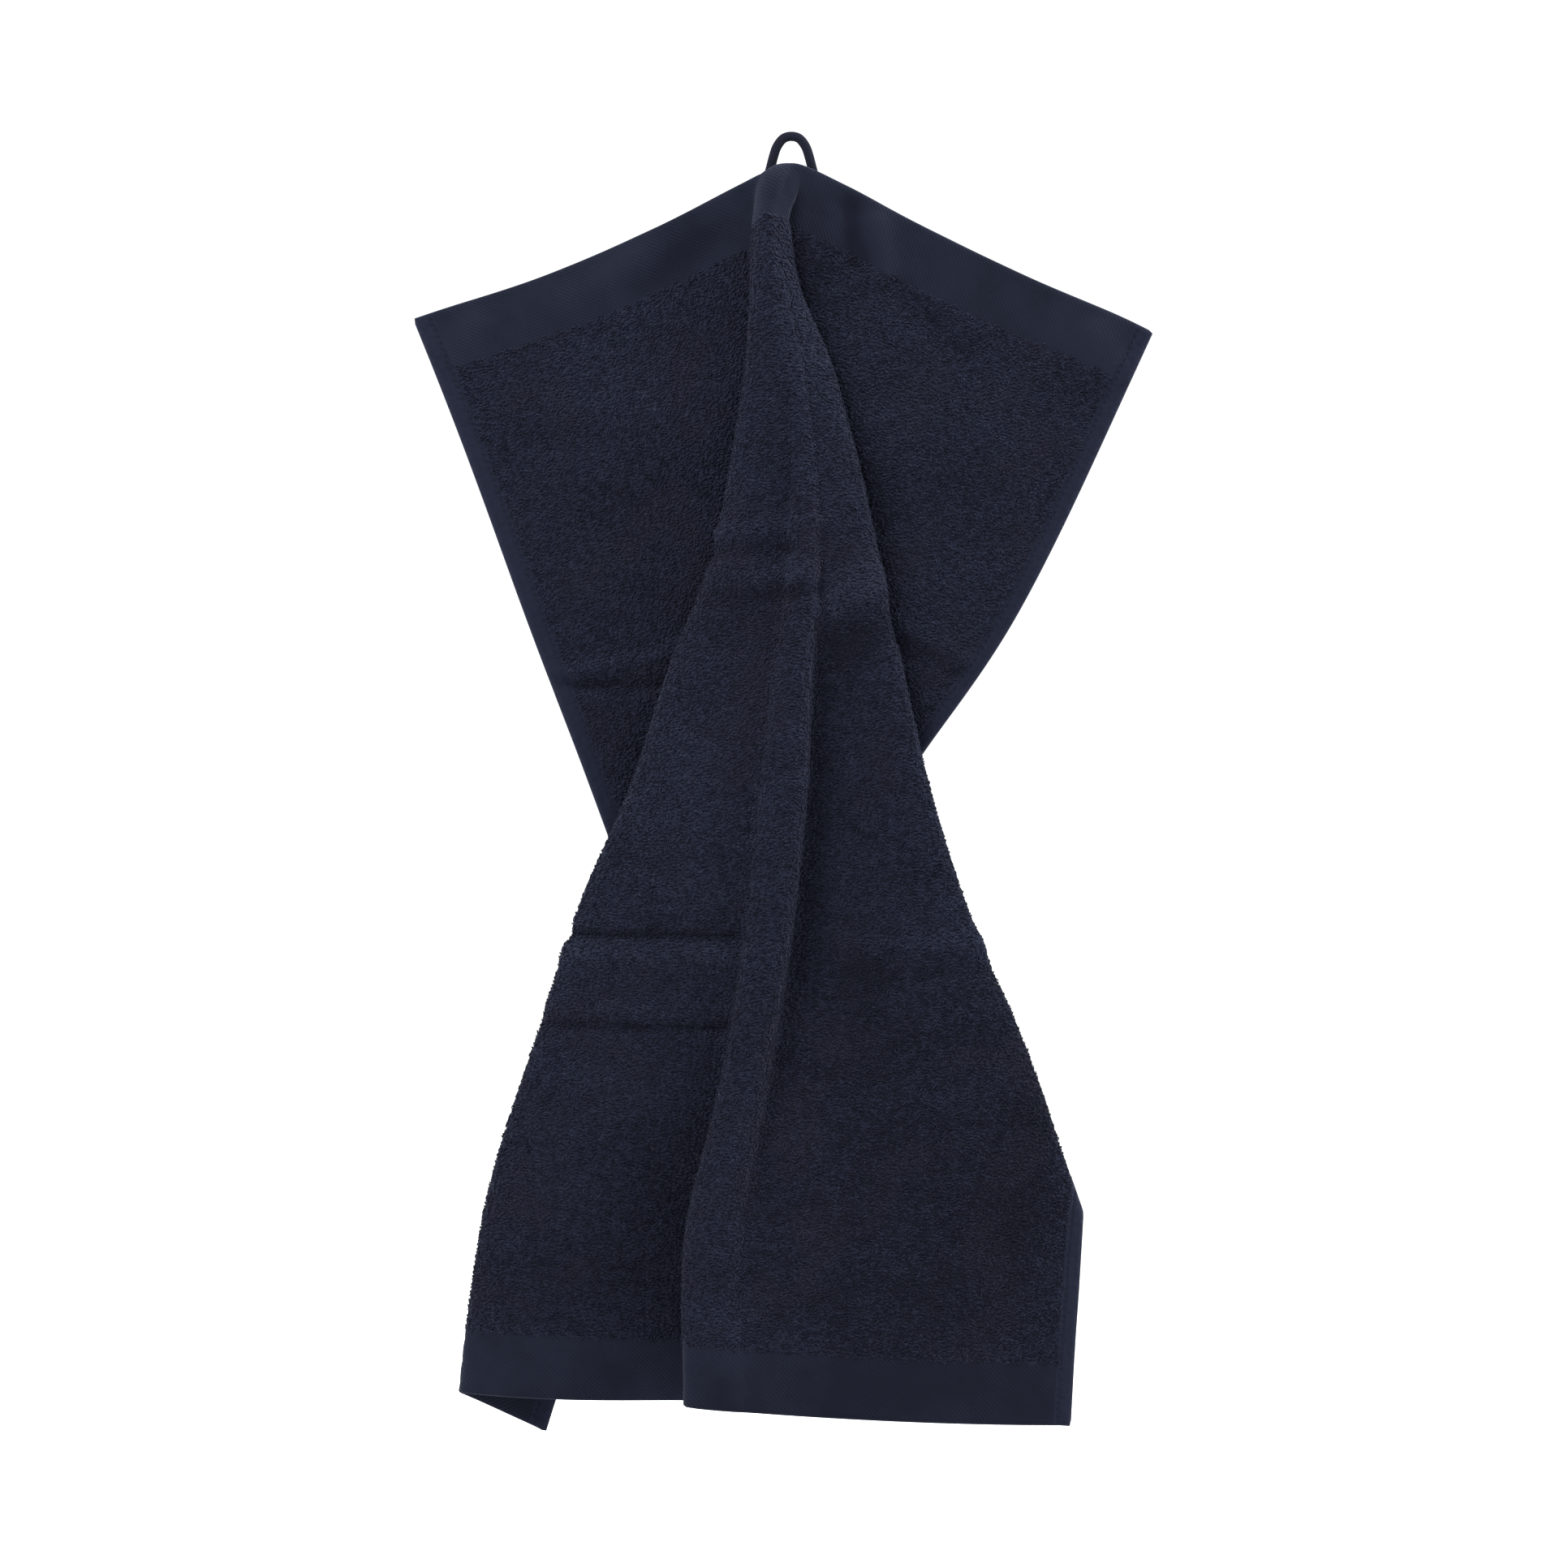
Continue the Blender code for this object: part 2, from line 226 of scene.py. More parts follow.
def hang(made, s, t):
    # where the flat cloth's points hang: s runs across it and t down from its top edge
    side = s - cloth["width"] / 2
    r = np.maximum(np.hypot(side, t), 0.01)
    flatAngle = np.arctan2(side, t)
    low = np.minimum((r / folds["distanceStep"]).astype(int), len(made["r"]) - 2)
    share = np.clip((r - made["r"][low]) / folds["distanceStep"], 0, 1)
    turn = np.zeros(len(r))
    depth = np.zeros(len(r))
    order = np.argsort(low, kind="stable")
    starts = np.searchsorted(low[order], np.arange(len(made["r"]) + 1))
    for row in range(len(made["r"]) - 1):
        here = order[starts[row]:starts[row + 1]]
        for k, part in ((row, 1 - share[here]), (row + 1, share[here])):
            spot = made["r"][k] * flatAngle[here]
            turn[here] += part * np.interp(spot, made["flat"][k], made["across"][k]) / made["r"][k]
            depth[here] += part * np.interp(spot, made["flat"][k], made["depth"][k])
    calm = (np.hypot(r, peak["round"]) - peak["round"]) / r
    angle = flatAngle + (turn - flatAngle) * calm
    away = np.degrees(np.abs(flatAngle))
    middle = reach["middle"] + (reach["frontEdge"] - reach["middle"]) * np.minimum(
        away / reach["frontTurn"], 1.0
    ) ** 2
    v = sectionValues(r)
    wing = np.where(side < 0, v["leftReach"], v["rightReach"])
    outer = smooth((away - reach["frontTurn"]) / (reach["wingTurn"] - reach["frontTurn"]))
    length = (middle + (wing - middle) * outer) * np.sqrt(np.maximum(r ** 2 - depth ** 2, 0.0))
    return np.stack(
        [
            length * np.sin(angle),
            -depth - peak["forward"],
            -length * np.cos(angle) - peak["drop"],
        ],
        axis=-1,
    )


# Soft creases from when it was packed and from how it hangs: both ends on the flat cloth, then how
# far the crease stands out of the front (less than nothing for a trough) and its half width
creaseColumns = ("s0", "t0", "s1", "t1", "height", "spread")
creaseRows = (
    (-2.0, 186.0, 76.0, 201.0, 1.9, 3.6),
    (-4.0, 190.0, 66.0, 218.0, -2.4, 3.6),
    (150.0, 180.0, 226.0, 174.0, 1.7, 3.6),
    (148.0, 190.0, 206.0, 186.0, -1.8, 4.0),
    (150.0, 213.0, 224.0, 207.0, -2.0, 6.0),
    (176.0, 203.0, 218.0, 197.0, 1.6, 5.0),
    (300.0, 184.0, 404.0, 182.0, 1.0, 5.0),
    (286.0, 193.0, 404.0, 190.0, -1.2, 5.0),
    (210.0, 220.0, 250.0, 196.0, 2.8, 10.0),
    (224.0, 240.0, 262.0, 218.0, -2.4, 10.0),
    (84.0, 378.0, 196.0, 373.0, -2.4, 3.0),
    (86.0, 387.0, 194.0, 382.0, 2.0, 5.0),
    (80.0, 412.0, 190.0, 409.0, 0.9, 5.0),
    (80.0, 421.0, 190.0, 418.0, -2.0, 3.0),
    (228.0, 424.0, 352.0, 416.0, -0.7, 7.0),
    (244.0, 377.0, 340.0, 372.0, 1.4, 7.0),
    (244.0, 390.0, 352.0, 386.0, -0.7, 9.0),
    (240.0, 452.0, 340.0, 446.0, 0.5, 6.0),
    (96.0, 458.0, 190.0, 452.0, 0.8, 7.0),
    (232.0, 2.0, 254.0, 38.0, -2.6, 6.0),
    (247.0, 2.0, 270.0, 36.0, 2.0, 7.0),
    (262.0, 30.0, 330.0, 52.0, -1.1, 7.0),
    (96.0, 26.0, 168.0, 14.0, -1.6, 8.0),
    (60.0, 16.0, 130.0, 4.0, 1.2, 8.0),
    (0.0, 24.0, 34.0, 6.0, 1.4, 9.0),
    (366.0, 6.0, 402.0, 30.0, 1.4, 9.0),
    (30.0, 60.0, 160.0, 92.0, 0.9, 12.0),
    (20.0, 118.0, 150.0, 132.0, -0.8, 14.0),
    (250.0, 110.0, 372.0, 70.0, 0.9, 13.0),
    (270.0, 150.0, 384.0, 120.0, -0.8, 14.0),
)


def creaseHeight(s, t):
    total = np.zeros(len(s))
    for row in creaseRows:
        c = dict(zip(creaseColumns, row))
        dx, dy = c["s1"] - c["s0"], c["t1"] - c["t0"]
        span = dx * dx + dy * dy
        f = ((s - c["s0"]) * dx + (t - c["t0"]) * dy) / span
        near = np.clip(f, 0, 1)
        gap = np.hypot(s - c["s0"] - near * dx, t - c["t0"] - near * dy)
        fade = smooth(np.minimum(f, 1 - f) * 5 + 0.1)
        total += c["height"] * np.exp(-((gap / c["spread"]) ** 2)) * fade
    return total


# Wide patches of painted light and painted shade: the middle on the flat cloth, half the size each
# way, and how much lighter it looks
paintedPatchColumns = ("s", "t", "halfS", "halfT", "light")
paintedPatchRows = (
    (222.0, 552.0, 20.0, 26.0, 0.50),
    (208.0, 490.0, 9.0, 40.0, 0.35),
    (155.0, 300.0, 18.0, 36.0, 0.30),
    (157.0, 350.0, 16.0, 16.0, 0.25),
    (364.0, 505.0, 34.0, 50.0, -0.65),
    (362.0, 450.0, 26.0, 20.0, -0.30),
    (290.0, 480.0, 70.0, 80.0, -0.45),
    (282.0, 430.0, 44.0, 20.0, -0.30),
    (262.0, 392.0, 16.0, 22.0, -0.70),
    (150.0, 510.0, 16.0, 40.0, -0.25),
    (208.0, 80.0, 12.0, 26.0, 0.40),
    (235.0, 204.0, 14.0, 12.0, 0.45),
    (240.0, 240.0, 12.0, 16.0, -0.45),
    (182.0, 222.0, 22.0, 8.0, -0.40),
    (186.0, 142.0, 14.0, 24.0, -0.20),
    (24.0, 226.0, 20.0, 16.0, -0.45),
    (60.0, 170.0, 24.0, 18.0, -0.25),
    (84.0, 40.0, 40.0, 14.0, 0.15),
    (325.0, 92.0, 34.0, 26.0, -0.15),
    (374.0, 40.0, 18.0, 10.0, -0.30),
    (232.0, 42.0, 12.0, 12.0, -0.45),
    (100.0, 447.0, 40.0, 9.0, 0.20),
    (88.0, 540.0, 40.0, 22.0, -0.25),
    (300.0, 545.0, 50.0, 18.0, -0.35),
    (200.0, 545.0, 60.0, 14.0, -0.25),
    (310.0, 588.0, 90.0, 16.0, -0.55),
    (364.0, 470.0, 14.0, 60.0, -0.25),
)


def paintedPatchLight(s, t):
    total = np.zeros(len(s))
    for row in paintedPatchRows:
        c = dict(zip(paintedPatchColumns, row))
        away = ((s - c["s"]) / c["halfS"]) ** 2 + ((t - c["t"]) / c["halfT"]) ** 2
        total += c["light"] * np.exp(-away)
    return total


def paintedCreaseAndPatchShade(s, t):
    # painted shade in the trough of each crease and painted light on its ridge, with the patches of painted
    # light and shade
    return np.clip(0.28 * creaseHeight(s, t), -0.6, 0.5) + paintedPatchLight(s, t)


def halfThickness(s, t):
    # flat weave, side hems and the ground under the pile, with a soft step between them
    inSide = np.minimum(s, cloth["width"] - s)
    inEnd = np.minimum(t, cloth["length"] - t)
    past = np.minimum(inSide - cloth["sideHem"], inEnd - cloth["endBand"])
    inPile = smooth(past / cloth["pileEdge"])
    hem = smooth((cloth["sideHem"] - inSide) / 0.8 + 0.5)
    flat = cloth["bandHalf"] + (cloth["hemHalf"] - cloth["bandHalf"]) * hem
    return flat + (cloth["groundHalf"] - flat) * inPile


def gridLines(total, border, step, rimStep):
    inner = np.linspace(border + cloth["pileEdge"], total - border - cloth["pileEdge"],
                        round((total - 2 * border) / step))
    rim = np.linspace(0, border, round(border / rimStep) + 1)
    return np.concatenate([rim, inner, total - rim[::-1]])


def frontWay(places, s, t):
    # the way that the cloth's front faces at each point of the grid
    out = np.cross(np.gradient(places, t, axis=0), np.gradient(places, s, axis=1))
    return out / np.maximum(np.linalg.norm(out, axis=2, keepdims=True), 1e-9)


def makeSurface():
    # the middle of the cloth as a grid of places, with the creases on it
    made = makeSections()
    s = gridLines(cloth["width"], cloth["sideHem"], cloth["columnStep"], cloth["hemStep"])
    t = gridLines(cloth["length"], cloth["endBand"], cloth["rowStep"], cloth["bandStep"])
    flatS, flatT = np.meshgrid(s, t)
    places = hang(made, flatS.ravel(), flatT.ravel()).reshape(len(t), len(s), 3)
    lift = creaseHeight(flatS.ravel(), flatT.ravel()).reshape(flatS.shape)
    places = places + frontWay(places, s, t) * lift[..., None]
    return {"s": s, "t": t, "places": places, "out": frontWay(places, s, t),
            "half": halfThickness(flatS, flatT), "flatS": flatS, "flatT": flatT}


def triangles(obj):
    return sum(len(p.vertices) - 2 for p in obj.data.polygons)


def makeSheet(surface, material):
    places, out, half = surface["places"], surface["out"], surface["half"][..., None]
    rows, columns = surface["flatS"].shape
    front = (places + out * half).reshape(-1, 3)
    back = (places - out * half).reshape(-1, 3)
    count = rows * columns
    number = np.arange(count).reshape(rows, columns)
    a, b = number[:-1, :-1].ravel(), number[:-1, 1:].ravel()
    c, d = number[1:, 1:].ravel(), number[1:, :-1].ravel()
    faces = np.concatenate([
        np.stack([a, d, c, b], axis=1),
        np.stack([a, b, c, d], axis=1) + count,
    ]).tolist()

    # the rim: one more line of points round the edge, a little outside it
    loop = np.concatenate([
        number[0, :-1], number[:-1, -1], number[-1, :0:-1], number[:0:-1, 0],
    ])
    flat = np.stack([surface["flatS"].ravel(), surface["flatT"].ravel()], axis=1)
    inner = np.concatenate([
        number[1, :-1], number[:-1, -2], number[-2, :0:-1], number[:0:-1, 1],
    ])
    middle = places.reshape(-1, 3)
    away = middle[loop] - middle[inner]
    away /= np.maximum(np.linalg.norm(away, axis=1, keepdims=True), 1e-9)
    rim = middle[loop] + away * cloth["rimRound"]
    first = 2 * count
    for k in range(len(loop)):
        n = (k + 1) % len(loop)
        faces.append((int(loop[k]), int(loop[n]), first + n, first + k))
        faces.append((first + k, first + n, int(loop[n]) + count, int(loop[k]) + count))
    points = np.concatenate([front, back, rim])
    flat = np.concatenate([flat, flat, flat[loop]])

    mesh = bpy.data.meshes.new("clothSheet")
    mesh.from_pydata((points * mm).tolist(), [], faces)
    mesh.polygons.foreach_set("use_smooth", [True] * len(mesh.polygons))
    layer = mesh.uv_layers.new(name="flat")
    corner = np.zeros(len(mesh.loops), int)
    mesh.loops.foreach_get("vertex_index", corner)
    layer.uv.foreach_set("vector", (flat[corner] * mm).astype(np.float32).ravel())
    # the painted shade and light of the creases and patches, kept for the colour
    paintedLightAndShade = mesh.attributes.new("paintedLightAndShade", "FLOAT", "POINT")
    paintedLightAndShade.data.foreach_set("value", paintedCreaseAndPatchShade(flat[:, 0], flat[:, 1]).astype(np.float32))
    mesh.materials.append(material)
    mesh.update()
    obj = bpy.data.objects.new("clothSheet", mesh)
    bpy.context.scene.collection.objects.link(obj)
    return obj


# small steps that every node tree here is built from
def addNode(tree, kind, **settings):
    node = tree.nodes.new(kind)
    for key, value in settings.items():
        setattr(node, key, value)
    return node


def feed(tree, socket, value):
    if isinstance(value, bpy.types.NodeSocket):
        tree.links.new(value, socket)
    else:
        socket.default_value = value


def calc(tree, operation, *values, clamp=False):
    node = addNode(tree, "ShaderNodeMath", operation=operation, use_clamp=clamp)
    for socket, value in zip(node.inputs, values):
        feed(tree, socket, value)
    return node.outputs[0]


def ramp(tree, value, low, high, start=0.0, end=1.0):
    node = addNode(tree, "ShaderNodeMapRange", interpolation_type="SMOOTHSTEP")
    for socket, number in zip(node.inputs, (value, low, high, start, end)):
        feed(tree, socket, number)
    return node.outputs[0]


def blend(tree, share, first, second):
    node = addNode(tree, "ShaderNodeMix", data_type="RGBA")
    feed(tree, node.inputs["Factor"], share)
    feed(tree, node.inputs["A"], first)
    feed(tree, node.inputs["B"], second)
    return node.outputs["Result"]


def noise(tree, place, scale, detail=3.0, rough=0.5):
    node = addNode(tree, "ShaderNodeTexNoise")
    feed(tree, node.inputs["Vector"], place)
    feed(tree, node.inputs["Scale"], scale)
    feed(tree, node.inputs["Detail"], detail)
    feed(tree, node.inputs["Roughness"], rough)
    return node.outputs["Fac"]


def newMaterial(name, **settings):
    material = bpy.data.materials.new(name)
    material.use_nodes = True
    shader = material.node_tree.nodes["Principled BSDF"]
    for key, value in settings.items():
        shader.inputs[key.replace("_", " ")].default_value = value
    return material, material.node_tree, shader


def rgb(red, green, blue):
    return (red, green, blue, 1.0)


# the colours of the dyed cotton, all linear; some also paint light and shade: yarnDark, yarnLight, band and
# bandLight the painted shade and light of the creases and patches, ground the painted shade at the roots of
# the loops and in the gaps between them, and bandLight the painted sheen along the hem's edge
dye = {
    "band": rgb(0.0048, 0.0057, 0.0102),
    "bandLight": rgb(0.0094, 0.0108, 0.0192),
    "hem": rgb(0.0066, 0.0077, 0.0146),
    "ground": rgb(0.0036, 0.0041, 0.0074),
    "yarn": rgb(0.0084, 0.0100, 0.0184),
    "yarnLight": rgb(0.0145, 0.0168, 0.0290),
    "yarnDark": rgb(0.0046, 0.0053, 0.0098),
    "yarnWarm": rgb(0.0086, 0.0088, 0.0150),
    "cord": rgb(0.0048, 0.0055, 0.0094),
    "cordLight": rgb(0.0076, 0.0086, 0.0150),
    "thread": rgb(0.0070, 0.0076, 0.0140),
}

weave = {
    "ribPitch": 1.55 * mm,  # between two ribs of the twill
    "ribTurn": 45.0,  # degrees, down to the right
    "ribHeight": 0.27 * mm,
    "ribShare": 0.55,  # how much of the lighter dye shows on a rib
    "threadPitch": 0.42 * mm,
    "threadHeight": 0.05 * mm,
    "hemThreadPitch": 0.8 * mm,
    "hemThreadHeight": 0.06 * mm,
    "loopHeight": 0.45 * mm,
    "loopPitch": (2.0 * mm, 0.9 * mm),
}

# the seam down each side hem, in millimetres
hemSeam = {"inset": 6.9, "pitch": 3.3, "stitch": 1.25, "thread": 0.3}


def yarnGroup():
    # the dyed yarn's colour from one loop to the next, with wide patches of lighter and warmer nap; the tone
    # brought in also carries painted shade and painted light
    tree = bpy.data.node_groups.new("yarnTones", "ShaderNodeTree")
    face = tree.interface
    face.new_socket("Place", in_out="INPUT", socket_type="NodeSocketVector")
    face.new_socket("ToneAndPaintedShade", in_out="INPUT", socket_type="NodeSocketFloat")
    face.new_socket("Color", in_out="OUTPUT", socket_type="NodeSocketColor")
    given = addNode(tree, "NodeGroupInput").outputs
    flatter = addNode(tree, "ShaderNodeVectorMath", operation="MULTIPLY")
    feed(tree, flatter.inputs[0], given["Place"])
    feed(tree, flatter.inputs[1], (0.55, 1.0, 1.5))
    nap = noise(tree, flatter.outputs[0], 34.0, 4.0, 0.6)
    clump = noise(tree, given["Place"], 260.0, 3.0, 0.6)
    patch = noise(tree, given["Place"], 30.0, 3.0, 0.5)
    light = calc(tree, "ADD", calc(tree, "MULTIPLY", given["ToneAndPaintedShade"], 0.5),
                 calc(tree, "MULTIPLY", ramp(tree, clump, 0.3, 0.7), 0.45))
    light = calc(tree, "ADD", light, ramp(tree, nap, 0.3, 0.7, -0.09, 0.09))
    colour = blend(tree, ramp(tree, light, 0.1, 0.55), dye["yarnDark"], dye["yarn"])
    colour = blend(tree, ramp(tree, light, 0.6, 1.1), colour, dye["yarnLight"])
    warm = calc(tree, "MULTIPLY", ramp(tree, patch, 0.48, 0.66), 0.45)
    colour = blend(tree, warm, colour, dye["yarnWarm"])
    tree.links.new(colour, addNode(tree, "NodeGroupOutput").inputs[0])
    return tree


def yarnColour(tree, place, tone):
    name = "yarnTones"
    node = addNode(tree, "ShaderNodeGroup", node_tree=bpy.data.node_groups.get(name) or yarnGroup())
    feed(tree, node.inputs["Place"], place)
    feed(tree, node.inputs["ToneAndPaintedShade"], tone)
    return node.outputs["Color"]


def flatPlace(tree):
    node = addNode(tree, "ShaderNodeUVMap", uv_map="flat")
    parts = addNode(tree, "ShaderNodeSeparateXYZ")
    tree.links.new(node.outputs["UV"], parts.inputs[0])
    return node.outputs["UV"], parts.outputs["X"], parts.outputs["Y"]


def twillRibs(tree, flat, s, t):
    # ribs of the twill, wavering a little, and the height of the weave
    waver = calc(tree, "MULTIPLY", noise(tree, flat, 90.0, 2.0), 0.9 * mm)
    turn = math.radians(weave["ribTurn"])
    ribPlace = calc(tree, "ADD", calc(tree, "ADD", calc(tree, "MULTIPLY", s, -math.sin(turn)),
                    calc(tree, "MULTIPLY", t, math.cos(turn))), waver)
    alongRib = calc(tree, "ADD", calc(tree, "MULTIPLY", s, math.cos(turn)),
                    calc(tree, "MULTIPLY", t, math.sin(turn)))
    rib = calc(tree, "SINE", calc(tree, "MULTIPLY", ribPlace, 2 * math.pi / weave["ribPitch"]))
    thread = calc(tree, "SINE", calc(tree, "MULTIPLY", alongRib, 2 * math.pi / weave["threadPitch"]))
    ribs = calc(tree, "MULTIPLY", calc(tree, "ADD", calc(tree, "MULTIPLY", rib, 0.5), 0.5),
                ramp(tree, noise(tree, flat, 45.0, 3.0), 0.35, 0.65, 0.25, 1.0))
    height = calc(tree, "ADD", calc(tree, "MULTIPLY", ribs, weave["ribHeight"]),
                  calc(tree, "MULTIPLY", thread, weave["threadHeight"]))
    return ribs, height


def hemFolds(tree, flat, s, t, inSide):
    # the hem dips along its seam and puckers between the stitches
    turns = calc(tree, "MULTIPLY", calc(tree, "ADD", s, t), 2 * math.pi / weave["hemThreadPitch"])
    thread = calc(tree, "MULTIPLY", calc(tree, "SINE", turns), weave["hemThreadHeight"])
    offSeam = calc(tree, "ABSOLUTE", calc(tree, "SUBTRACT", inSide, hemSeam["inset"] * mm))
    dip = ramp(tree, offSeam, 1.6 * mm, 0.0, 0.0, -0.55 * mm)
    pucker = ramp(tree, noise(tree, flat, 210.0, 2.0), 0.3, 0.7, 0.0, 0.5 * mm)
    return calc(tree, "ADD", calc(tree, "ADD", dip, pucker), thread)


def groundLoops(tree, place, flat, s, t):
    # loops of the pile between the ones that stand on it, each with its own tone
    fuzz = noise(tree, place, 900.0, 4.0, 0.7)
    stir = calc(tree, "MULTIPLY", noise(tree, flat, 420.0, 2.0), 1.6)
    cells = addNode(tree, "ShaderNodeCombineXYZ")
    for socket, way, pitch in zip(cells.inputs, (s, t), weave["loopPitch"]):
        feed(tree, socket, calc(tree, "ADD", calc(tree, "DIVIDE", way, pitch), stir))
    loops = addNode(tree, "ShaderNodeTexVoronoi", voronoi_dimensions="2D", feature="F1")
    feed(tree, loops.inputs["Vector"], cells.outputs[0])
    feed(tree, loops.inputs["Scale"], 1.0)
    grain = ramp(tree, loops.outputs["Distance"], 0.75, 0.1)
    tone = calc(tree, "MULTIPLY", loops.outputs["Color"], 1.0)
    height = calc(tree, "ADD", calc(tree, "MULTIPLY", grain, weave["loopHeight"]),
                  calc(tree, "MULTIPLY", fuzz, 0.15 * mm))
    return grain, tone, height


def clothMaterial():
    material, tree, shader = newMaterial(
        "terryWeave", Roughness=0.9, Sheen_Weight=0.06, Sheen_Roughness=0.35,
        Sheen_Tint=rgb(0.7, 0.75, 1.0), Specular_IOR_Level=0.02,
    )
    flat, s, t = flatPlace(tree)
    place = addNode(tree, "ShaderNodeTexCoord").outputs["Object"]
    width, length = cloth["width"] * mm, cloth["length"] * mm
    inSide = calc(tree, "MINIMUM", s, calc(tree, "SUBTRACT", width, s))
    inEnd = calc(tree, "MINIMUM", t, calc(tree, "SUBTRACT", length, t))
    past = calc(tree, "MINIMUM", calc(tree, "SUBTRACT", inSide, cloth["sideHem"] * mm),
                calc(tree, "SUBTRACT", inEnd, cloth["endBand"] * mm))
    ragged = ramp(tree, noise(tree, flat, 330.0, 3.0, 0.6), 0.3, 0.7, -0.4 * mm, 1.5 * mm)
    inPile = ramp(tree, calc(tree, "ADD", past, ragged), 0.0, 0.5 * mm)
    inHem = ramp(tree, inSide, cloth["sideHem"] * mm, (cloth["sideHem"] - 0.6) * mm)

    ribs, weaveHeight = twillRibs(tree, flat, s, t)
    hemHeight = hemFolds(tree, flat, s, t, inSide)
    grain, cellTone, pileHeight = groundLoops(tree, place, flat, s, t)
    flatHeight = calc(tree, "ADD", calc(tree, "MULTIPLY", weaveHeight, calc(tree, "SUBTRACT", 1.0, inHem)),
                      calc(tree, "MULTIPLY", hemHeight, inHem))
    height = calc(tree, "ADD", calc(tree, "MULTIPLY", pileHeight, inPile),
                  calc(tree, "MULTIPLY", flatHeight, calc(tree, "SUBTRACT", 1.0, inPile)))
    bump = addNode(tree, "ShaderNodeBump")
    bump.inputs["Distance"].default_value = 1.0
    bump.inputs["Strength"].default_value = 1.0
    tree.links.new(height, bump.inputs["Height"])
    tree.links.new(bump.outputs[0], shader.inputs["Normal"])

    # painted shade and painted light of the creases and patches darken and lighten the bands and the pile
    paintedLightAndShade = addNode(tree, "ShaderNodeAttribute", attribute_name="paintedLightAndShade").outputs["Fac"]
    patch = ramp(tree, noise(tree, place, 24.0, 4.0, 0.6), 0.35, 0.65)
    light = calc(tree, "MULTIPLY", paintedLightAndShade, 0.5)
    ribShare = calc(tree, "ADD", calc(tree, "MULTIPLY", ribs, weave["ribShare"]), light, clamp=True)
    patchAndPaintedShade = calc(tree, "ADD", calc(tree, "MULTIPLY", patch, 0.4), light, clamp=True)
    bandColour = blend(tree, ribShare, dye["band"], dye["bandLight"])
    bandColour = blend(tree, patchAndPaintedShade, bandColour, dye["bandLight"])
    # painted sheen: the hem turns lighter towards the cloth's outer edge, with random patches on top
    rim = ramp(tree, inSide, 2.4 * mm, 0.3 * mm, 0.0, 0.7)
    paintedRimSheenAndPatch = calc(tree, "ADD", rim, calc(tree, "MULTIPLY", patch, 0.2))
    hemColour = blend(tree, paintedRimSheenAndPatch, dye["hem"], dye["bandLight"])
    flatColour = blend(tree, inHem, bandColour, hemColour)
    yarn = yarnColour(tree, place, calc(tree, "ADD", cellTone, paintedLightAndShade))
    # the gaps between the loops take the darker ground colour: partly the ground cloth and partly painted shade
    # between the loops
    ground = blend(tree, ramp(tree, grain, 0.0, 0.6), dye["ground"], yarn)
    tree.links.new(blend(tree, inPile, flatColour, ground), shader.inputs["Base Color"])
    return material


# the pile: short loops of yarn that lie on the cloth, in millimetres and degrees
pile = {
    "frontPitch": (2.4, 1.3),  # across and down the cloth
    "backPitch": (3.6, 2.3),
    "jitter": 0.45,  # share of the pitch
    "length": 1.3,  # half the length of one loop of yarn
    "width": 0.55,
    "height": 0.4,
    "rise": 0.3,  # above the ground
    "tilt": 14.0,
    "swing": 60.0,  # most that a loop turns from lying across the cloth
    "backGrowth": 1.6,
    "lap": 1.6,  # how far it can lie over the bands and hems
    "fineShare": 0.45,  # loops of the front with a rounder shape
    "frontParts": 4,
    "seed": 7,
}


def pilePoints(pitch, seed):
    # a jittered grid on the flat cloth that laps over the bands and hems by a ragged edge
    rng = np.random.default_rng(seed)
    left = cloth["sideHem"] - pile["lap"]
    top = cloth["endBand"] - pile["lap"]
    columns = round((cloth["width"] - 2 * left) / pitch[0])
    rows = round((cloth["length"] - 2 * top) / pitch[1])
    s, t = np.meshgrid((np.arange(columns) + 0.5) / columns, (np.arange(rows) + 0.5) / rows)
    s = left + (cloth["width"] - 2 * left) * s.ravel()
    t = top + (cloth["length"] - 2 * top) * t.ravel()
    shift = (rng.random((2, len(s))) - 0.5) * 2 * pile["jitter"] * np.array(pitch)[:, None]
    s = s + shift[0]
    t = t + shift[1]
    past = np.minimum(
        np.minimum(s, cloth["width"] - s) - cloth["sideHem"],
        np.minimum(t, cloth["length"] - t) - cloth["endBand"],
    )
    ragged = 0.5 + 0.4 * np.sin(s * 0.9 + t * 0.31) + 0.3 * np.sin(s * 0.23 - t * 0.7 + 2)
    kept = past > 0.6 - pile["lap"] * np.clip(ragged + 0.5 * (rng.random(len(s)) - 0.5), 0, 1)
    s, t = s[kept], t[kept]
    # each loop's tone: random, with the painted shade and light of the creases and patches
    return s, t, rng.random(len(s)) + paintedCreaseAndPatchShade(s, t)


